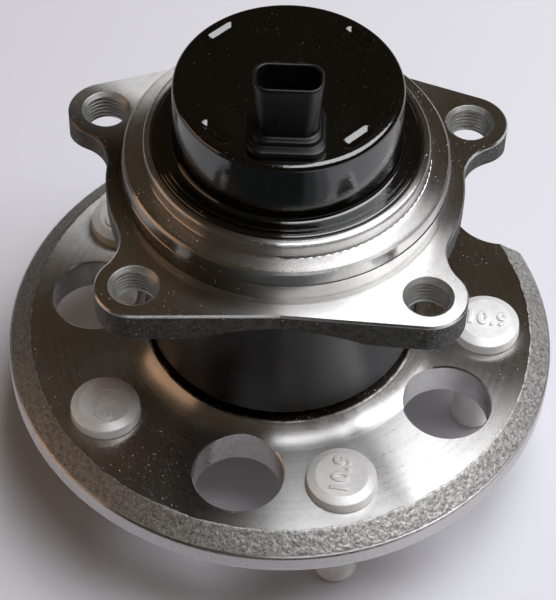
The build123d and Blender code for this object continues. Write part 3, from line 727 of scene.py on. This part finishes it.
# Sensor cap: pressed sheet, with four pressed dimples and a hole for the connector's neck
sensorCap = {
    "outside": [(20, 104, 0), (28.9, 104, 1.6), (29.3, 85.8, 1.2), (32.3, 85.8, 0.1), (32.5, 85.62, 0.1),
                (33.5, 85.62, 0.1), (33.7, 85.44, 0.1), (34.5, 85.4, 0.7), (34.5, 76.9, 0)],
    "inside": [(33.6, 76.9, 0), (33.6, 84.5, 0.1), (32.0, 84.9, 0), (28.4, 84.9, 2.1), (28.0, 103.1, 0.7),
               (20, 103.1, 0)],
    "top": 104.0,
    "sheet": 0.9,
    "dimpleR": 24.4,
    "dimpleHalf": 3.0,
    "dimpleWide": 1.5,
    "dimpleDeep": 0.62,
    "dimpleFirst": 45,
    "dimpleClear": 2.4,
    "contours": (0.25, 0.5, 0.75, 1.0, 1.2, 1.35, 1.44, 1.5, 1.58, 1.7, 1.85, 2.1),
    "lip": 0.035,
    "lipAway": 0.25,
    "lipWide": 0.2,
    # where the flat sheet meets the turned wall
    "joinR": 27.3,
    "under": 103.1,
    "neckClear": (8.5, 5.4),
    "neckY": -17.2,
    "neckHalf": (7.7, 4.6),
    "neckRound": 3.0,
}


def roundedBox(halfX, halfY, corner, steps=6, y=0.0):
    # Outline of a box with quarter-circle corners, anticlockwise from the right side:
    # (cx + corner * cos, y + cy + corner * sin) of turn + quarter * 90 degrees
    turn = np.linspace(0, np.pi / 2, steps + 1)
    spots = [(halfX - corner, halfY - corner, 0), (corner - halfX, halfY - corner, 1),
             (corner - halfX, corner - halfY, 2), (halfX - corner, corner - halfY, 3)]
    arcs = [np.stack([cx + corner * np.cos(turn + q * np.pi / 2),
                      y + cy + corner * np.sin(turn + q * np.pi / 2)], 1) for cx, cy, q in spots]
    return np.concatenate(arcs)


def dimpleAway(x, y, look=sensorCap):
    # Distance from the nearest dimple's middle line, a short line square to the way out
    away = np.full(np.shape(x), 99.0)
    for k in range(4):
        turn = math.radians(look["dimpleFirst"] + 90 * k)
        out = x * math.cos(turn) + y * math.sin(turn) - look["dimpleR"]
        side = np.abs(y * math.cos(turn) - x * math.sin(turn)) - look["dimpleHalf"]
        away = np.minimum(away, np.hypot(out, np.maximum(side, 0)))
    return away


def capTop(x, y, look=sensorCap):
    # A dimple sinks by deep * (1 - (away / wide)^1.6), and a bell curve lifts its lip
    away = dimpleAway(x, y)
    sunk = look["dimpleDeep"] * (1 - np.minimum(away / look["dimpleWide"], 1) ** 1.6)
    bell = np.exp(-((away - look["dimpleWide"] - look["lipAway"]) / look["lipWide"]) ** 2)
    return look["top"] - sunk + look["lip"] * bell


def capSheet(look=sensorCap, segments=240):
    # Flat points of the top: rings round the axis, contours round each dimple and the neck's hole,
    # joined into triangles. Triangles over the hole are left out.
    spread = lambda n: np.arange(n) * 2 * np.pi / n
    ring = lambda r, n: np.stack([r * np.cos(spread(n)), r * np.sin(spread(n))], 1)
    rim, (wide, deep) = look["joinR"], look["neckClear"]
    hole = roundedBox(*look["neckHalf"], look["neckRound"], 6, look["neckY"])
    inner = np.concatenate([ring(rim - 0.5, segments), ring(21, 90), ring(15, 60), ring(9, 30), ring(3, 12)])
    clear = dimpleAway(inner[:, 0], inner[:, 1]) > look["dimpleClear"]
    clear &= (np.abs(inner[:, 0]) > wide) | (np.abs(inner[:, 1] - look["neckY"]) > deep)
    sets = [ring(rim, segments), hole, inner[clear]]
    line = np.linspace(-look["dimpleHalf"], look["dimpleHalf"], 18)
    half = np.linspace(-np.pi / 2, np.pi / 2, 15)[1:-1]
    for k in range(4):
        turn = math.radians(look["dimpleFirst"] + 90 * k)
        out, side = np.array([math.cos(turn), math.sin(turn)]), np.array([-math.sin(turn), math.cos(turn)])
        sets.append(look["dimpleR"] * out + line[:, None] * side)
        for d in look["contours"]:
            bend = look["dimpleHalf"] + d * np.cos(half)
            u = np.concatenate([line, bend, line[::-1], -bend])
            v = np.concatenate([-d + 0 * line, d * np.sin(half), d + 0 * line, -d * np.sin(half)])
            sets.append(look["dimpleR"] * out + u[:, None] * side + v[:, None] * out)
    points = np.concatenate(sets)
    loop = lambda start, n: [(start + k, start + (k + 1) % n) for k in range(n)]
    edges = loop(0, segments) + loop(segments, len(hole))
    spots, _, faces, *_ = delaunay_2d_cdt([Vector(p) for p in points.tolist()], edges, [], 0, 1e-5)
    spots, faces = np.array([tuple(p) for p in spots]), np.array([f for f in faces if len(f) == 3])
    middle = spots[faces].mean(1)
    over = np.abs(middle - (0, look["neckY"])) - np.array(look["neckHalf"]) + look["neckRound"]
    outside = np.hypot(*np.maximum(over, 0).T) + np.minimum(over.max(1), 0) > look["neckRound"]
    return spots, faces[outside], hole


def joinMesh(name, parts):
    # Points and faces of several parts, faces of three or four corners, in one mesh
    mesh = bpy.data.meshes.new(name)
    counts = np.cumsum([0] + [len(p) for p, _ in parts])
    points = np.concatenate([p for p, _ in parts]) * mm
    faces = [f for (_, own), n in zip(parts, counts) for f in (own + n).tolist()]
    mesh.from_pydata(points.tolist(), [], faces)
    return mesh


def makeCap(look=sensorCap):
    # Turned wall, with top and under skins from capSheet and an edge round the neck's hole
    outside, inner = roundedPath(look["outside"], 8)[1:], roundedPath(look["inside"], 8)[:-1]
    outside[0], inner[-1] = (look["joinR"], look["top"]), (look["joinR"], look["under"])
    wall = turnedPart(np.concatenate([outside, inner]), 240)
    spots, faces, hole = capSheet()
    z = capTop(spots[:, 0], spots[:, 1])
    z[np.hypot(*spots.T) > look["joinR"] - 0.01] = look["top"]
    top = np.column_stack([spots, z])
    under = np.column_stack([spots, z - look["sheet"]])
    edge = np.stack([np.column_stack([hole, capTop(*hole.T) - d]) for d in (0, look["sheet"])], 1)
    mesh = joinMesh("sensorCap", [wall, (top, faces), (under, faces), gridPart(edge, True, False)])
    cap = finishPiece("pressed_sensor_cap", mesh, "knuckle_side", capBlack, 34.0, 2e-6)
    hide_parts("sensor_cap")


# Connector housing: lid, neck, plinth, collar and open socket, as rounded-box rows
housing = {
    "y": -17.2,
    "lidR": 23.0,
    "lidLow": 98.5,
    "lidTop": 103.1,
    # z, half length, half width, corner
    "rows": [(103.1, 7.5, 4.4, 3.0), (104.0, 7.5, 4.4, 3.0), (104.0, 9.8, 8.7, 4.0),
             (104.9, 9.8, 8.7, 4.0), (105.3, 9.7, 8.6, 3.9), (105.6, 9.45, 8.35, 3.7),
             (105.75, 9.1, 8.0, 3.4), (105.8, 8.75, 6.6, 3.6), (105.9, 8.62, 6.3, 3.9),
             (106.5, 8.6, 6.2, 4.0), (106.8, 8.52, 6.1, 3.9), (107.0, 8.3, 5.9, 3.8),
             (107.1, 8.0, 5.6, 3.6), (107.12, 7.75, 4.85, 3.6), (107.3, 7.58, 4.55, 3.6),
             (107.8, 7.52, 4.45, 3.6), (122.3, 8.40, 4.85, 3.6), (122.75, 8.43, 4.88, 3.6),
             (123.0, 8.35, 4.80, 3.55), (123.15, 8.18, 4.63, 3.4), (123.2, 7.95, 4.40, 3.2),
             (123.15, 7.72, 4.17, 3.0), (123.0, 7.55, 4.0, 2.85), (122.7, 7.45, 3.9, 2.75),
             (109.7, 7.25, 3.75, 2.6)],
    "ribX": 2.85,
    "ribLow": 113.4,
    "ribTop": 122.4,
    "ribHalf": 0.75,
    "ribProud": 1.1,
    "ribOut": 0.25,
    "ribRound": 0.4,
    "ribEase": 0.3,
    "backY": 4.85,
}


def makeHousing(look=housing, steps=8):
    # Outlines joined in order: the lid's middle and rim, then rounded boxes up the neck and down
    # into the socket. Two ribs stand on its back.
    rows = [roundedBox(a, b, c, steps) for _, a, b, c in look["rows"]]
    heights = [row[0] for row in look["rows"]]
    # The lid's rim, on the lines from the neck's middle through each point of its outline
    way = rows[0] / np.linalg.norm(rows[0], axis=1)[:, None]
    ahead = way[:, 1] * look["y"]
    rim = way * (np.sqrt(ahead ** 2 - look["y"] ** 2 + look["lidR"] ** 2) - ahead)[:, None]
    hub = np.zeros_like(rim)
    hub[:, 1] = -look["y"]
    rows = [hub, rim, rim, *rows, np.zeros_like(rim)]
    heights = [look["lidLow"], look["lidLow"], look["lidTop"], *heights, heights[-1]]
    points = np.stack([np.column_stack([p[:, 0], p[:, 1] + look["y"], np.full(len(p), z)])
                       for p, z in zip(rows, heights)], 1)
    parts = [gridPart(points, True, False)]
    for side in (-1, 1):
        box = roundedBox(look["ribHalf"], look["ribProud"], look["ribRound"], 4)
        low, top, ease = look["ribLow"], look["ribTop"], look["ribEase"]
        # z, share of the half width, share of the reach
        levels = [(low, 0.0, 0.9), (low, 0.9, 0.9), (low + ease, 1, 1),
                  (top - ease, 1, 1), (top, 0.9, 0.8), (top, 0.0, 0.8)]
        back = look["backY"] + look["y"] + look["ribOut"]
        rib = np.stack([np.column_stack([box[:, 0] * share + side * look["ribX"],
                                         box[:, 1] * reachOut * (share > 0) + back,
                                         np.full(len(box), z)]) for z, share, reachOut in levels], 1)
        parts.append(gridPart(rib, True, False))
    made = pieceFrom("moulded_connector", parts, "knuckle_side", moulded, 40.0)
    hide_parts("connector_housing")


makeCap()
makeHousing()
print("cap and connector made")


# Camera and studio
cameraPlace = {
    "spot": (-0.92, -378.72, 481.34),
    "right": (0.9994, 0.0258, 0.0212),
    "up": (-0.0334, 0.7728, 0.6338),
    "forward": (0.0, 0.6341, -0.7732),
    "sensor": 36.0,
    "lens": 129.52,
    "clip": (0.01, 20.0),
    "turn": 0.3,
}


def makeCamera(look=cameraPlace):
    # The camera's axes are right, up and -forward, turned about Z
    data = bpy.data.cameras.new("camera")
    data.sensor_width, data.lens = look["sensor"], look["lens"]
    data.clip_start, data.clip_end = look["clip"]
    camera = bpy.data.objects.new("camera", data)
    bpy.context.scene.collection.objects.link(camera)
    right, up, ahead = (Vector(look[k]) for k in ("right", "up", "forward"))
    axes = Matrix((right, up, -ahead)).transposed().to_4x4()
    axes.translation = Vector(look["spot"]) * mm
    camera.matrix_world = Matrix.Rotation(math.radians(look["turn"]), 4, "Z") @ axes
    bpy.context.scene.camera = camera


studio = {
    "floorZ": -30.5 * mm,
    "floorHalf": 3.0,
    "floorColour": (0.83, 0.835, 0.90),
    "boxRadiance": 4.8,
    "boxLow": (0.0, -0.40, 0.93),
    "boxHigh": (0.93, 0.50, 0.93),
    "roomSoft": (0.078, 0.051, 0.026),
    "roomPale": (0.72, 0.72, 0.76),
    "wallDark": (0.050, 0.036, 0.022),
    "wallAway": 1.3,
    "wallTop": 1.5,
    "tanColour": (1.0, 0.60, 0.36),
    "tanStrength": 0.95,
    "tanX": -0.55,
    "tanY": (-0.36, 0.12),
    "tanZ": (0.08, 0.36),
    "boxColour": (0.965, 0.975, 1.0),
    "matColour": (0.92, 0.98, 1.0),
    "matY": (-0.9, -0.115),
    # left edge, right edge, strength
    "matStrips": ((-0.7, 0.05, 0.05), (0.05, 0.08, 0.16), (0.08, 0.11, 0.36)),
}


def emission(name, colour, strength):
    # A plain glow of colour * strength
    material = bpy.data.materials.new(name)
    material.use_nodes = True
    tree = material.node_tree
    tree.nodes.clear()
    glow = tree.nodes.new("ShaderNodeEmission")
    glow.inputs["Color"].default_value = (*colour, 1.0)
    glow.inputs["Strength"].default_value = strength
    out = tree.nodes.new("ShaderNodeOutputMaterial")
    tree.links.new(glow.outputs[0], out.inputs["Surface"])
    return material


def card(name, corners, material):
    # A flat four-cornered board that only reflections see
    mesh = bpy.data.meshes.new(name)
    mesh.from_pydata(corners, [], [(0, 1, 2, 3)])
    board = bpy.data.objects.new(name, mesh)
    bpy.context.scene.collection.objects.link(board)
    board.data.materials.append(material)
    board.visible_camera = board.visible_diffuse = board.visible_shadow = False


def makeStudio(look=studio):
    # Floor, softbox, boards and room. The softbox's power is radiance * pi * its area.
    half = look["floorHalf"]
    mesh = bpy.data.meshes.new("floor")
    corners = [(-half, -half, look["floorZ"]), (half, -half, look["floorZ"]),
               (half, half, look["floorZ"]), (-half, half, look["floorZ"])]
    mesh.from_pydata(corners, [], [(0, 1, 2, 3)])
    floor = bpy.data.objects.new("floor", mesh)
    bpy.context.scene.collection.objects.link(floor)
    paper = Finish("floorPaper", Base_Color=look["floorColour"], Roughness=0.9)
    floor.data.materials.append(paper.material)

    low, high = Vector(look["boxLow"]), Vector(look["boxHigh"])
    light = bpy.data.lights.new("softbox", "AREA")
    light.shape, light.size, light.size_y = "RECTANGLE", high.x - low.x, high.y - low.y
    light.energy = look["boxRadiance"] * math.pi * light.size * light.size_y
    light.color = look["boxColour"]
    lamp = bpy.data.objects.new("softbox", light)
    lamp.location = (low + high) / 2
    bpy.context.scene.collection.objects.link(lamp)

    tan = emission("tanBoard", look["tanColour"], look["tanStrength"])
    x, (y0, y1), (z0, z1) = look["tanX"], look["tanY"], look["tanZ"]
    card("tanBoard", [(x, y0, z0), (x, y1, z0), (x, y1, z1), (x, y0, z1)], tan)

    # Dark boards on every side and overhead give the bare steel its dark side, and a dark mat on
    # the floor in front keeps the pale floor out of the black cap
    dark = emission("darkBoards", look["wallDark"], 1.0)
    mat = look["floorZ"] + mm
    front, near = look["matY"]
    for left, right, tone in look["matStrips"]:
        corners = [(left, front, mat), (right, front, mat), (right, near, mat), (left, near, mat)]
        card("frontMat", corners, emission("frontMat", look["matColour"], tone))
    a, top = look["wallAway"], look["wallTop"]
    sides = {"leftBoard": ((-a, -a), (-a, a)), "rightBoard": ((a, -a), (a, a)),
             "frontBoard": ((-a, -a), (a, -a)), "backBoard": ((-a, a), (a, a))}
    for name, (one, two) in sides.items():
        card(name, [(*one, 0), (*two, 0), (*two, top), (*one, top)], dark)
    card("topBoard", [(-a, -a, top), (a, -a, top), (a, a, top), (-a, a, top)], dark)

    # The room is pale to camera, glossy and transmission rays, and soft to all the others
    world = bpy.data.worlds.new("room")
    bpy.context.scene.world = world
    world.use_nodes = True
    tree = world.node_tree
    tree.nodes.clear()
    path = tree.nodes.new("ShaderNodeLightPath")
    seen = path.outputs["Is Camera Ray"]
    for ray in ("Is Glossy Ray", "Is Transmission Ray"):
        both = tree.nodes.new("ShaderNodeMath")
        both.operation = "MAXIMUM"
        tree.links.new(seen, both.inputs[0])
        tree.links.new(path.outputs[ray], both.inputs[1])
        seen = both.outputs[0]
    soft = tree.nodes.new("ShaderNodeBackground")
    soft.inputs["Color"].default_value = (*look["roomSoft"], 1.0)
    pale = tree.nodes.new("ShaderNodeBackground")
    pale.inputs["Color"].default_value = (*look["roomPale"], 1.0)
    mix = tree.nodes.new("ShaderNodeMixShader")
    out = tree.nodes.new("ShaderNodeOutputWorld")
    tree.links.new(seen, mix.inputs[0])
    tree.links.new(soft.outputs[0], mix.inputs[1])
    tree.links.new(pale.outputs[0], mix.inputs[2])
    tree.links.new(mix.outputs[0], out.inputs["Surface"])


makeCamera()
makeStudio()
bpy.context.scene.view_settings.view_transform = "Standard"
print("camera and studio made")
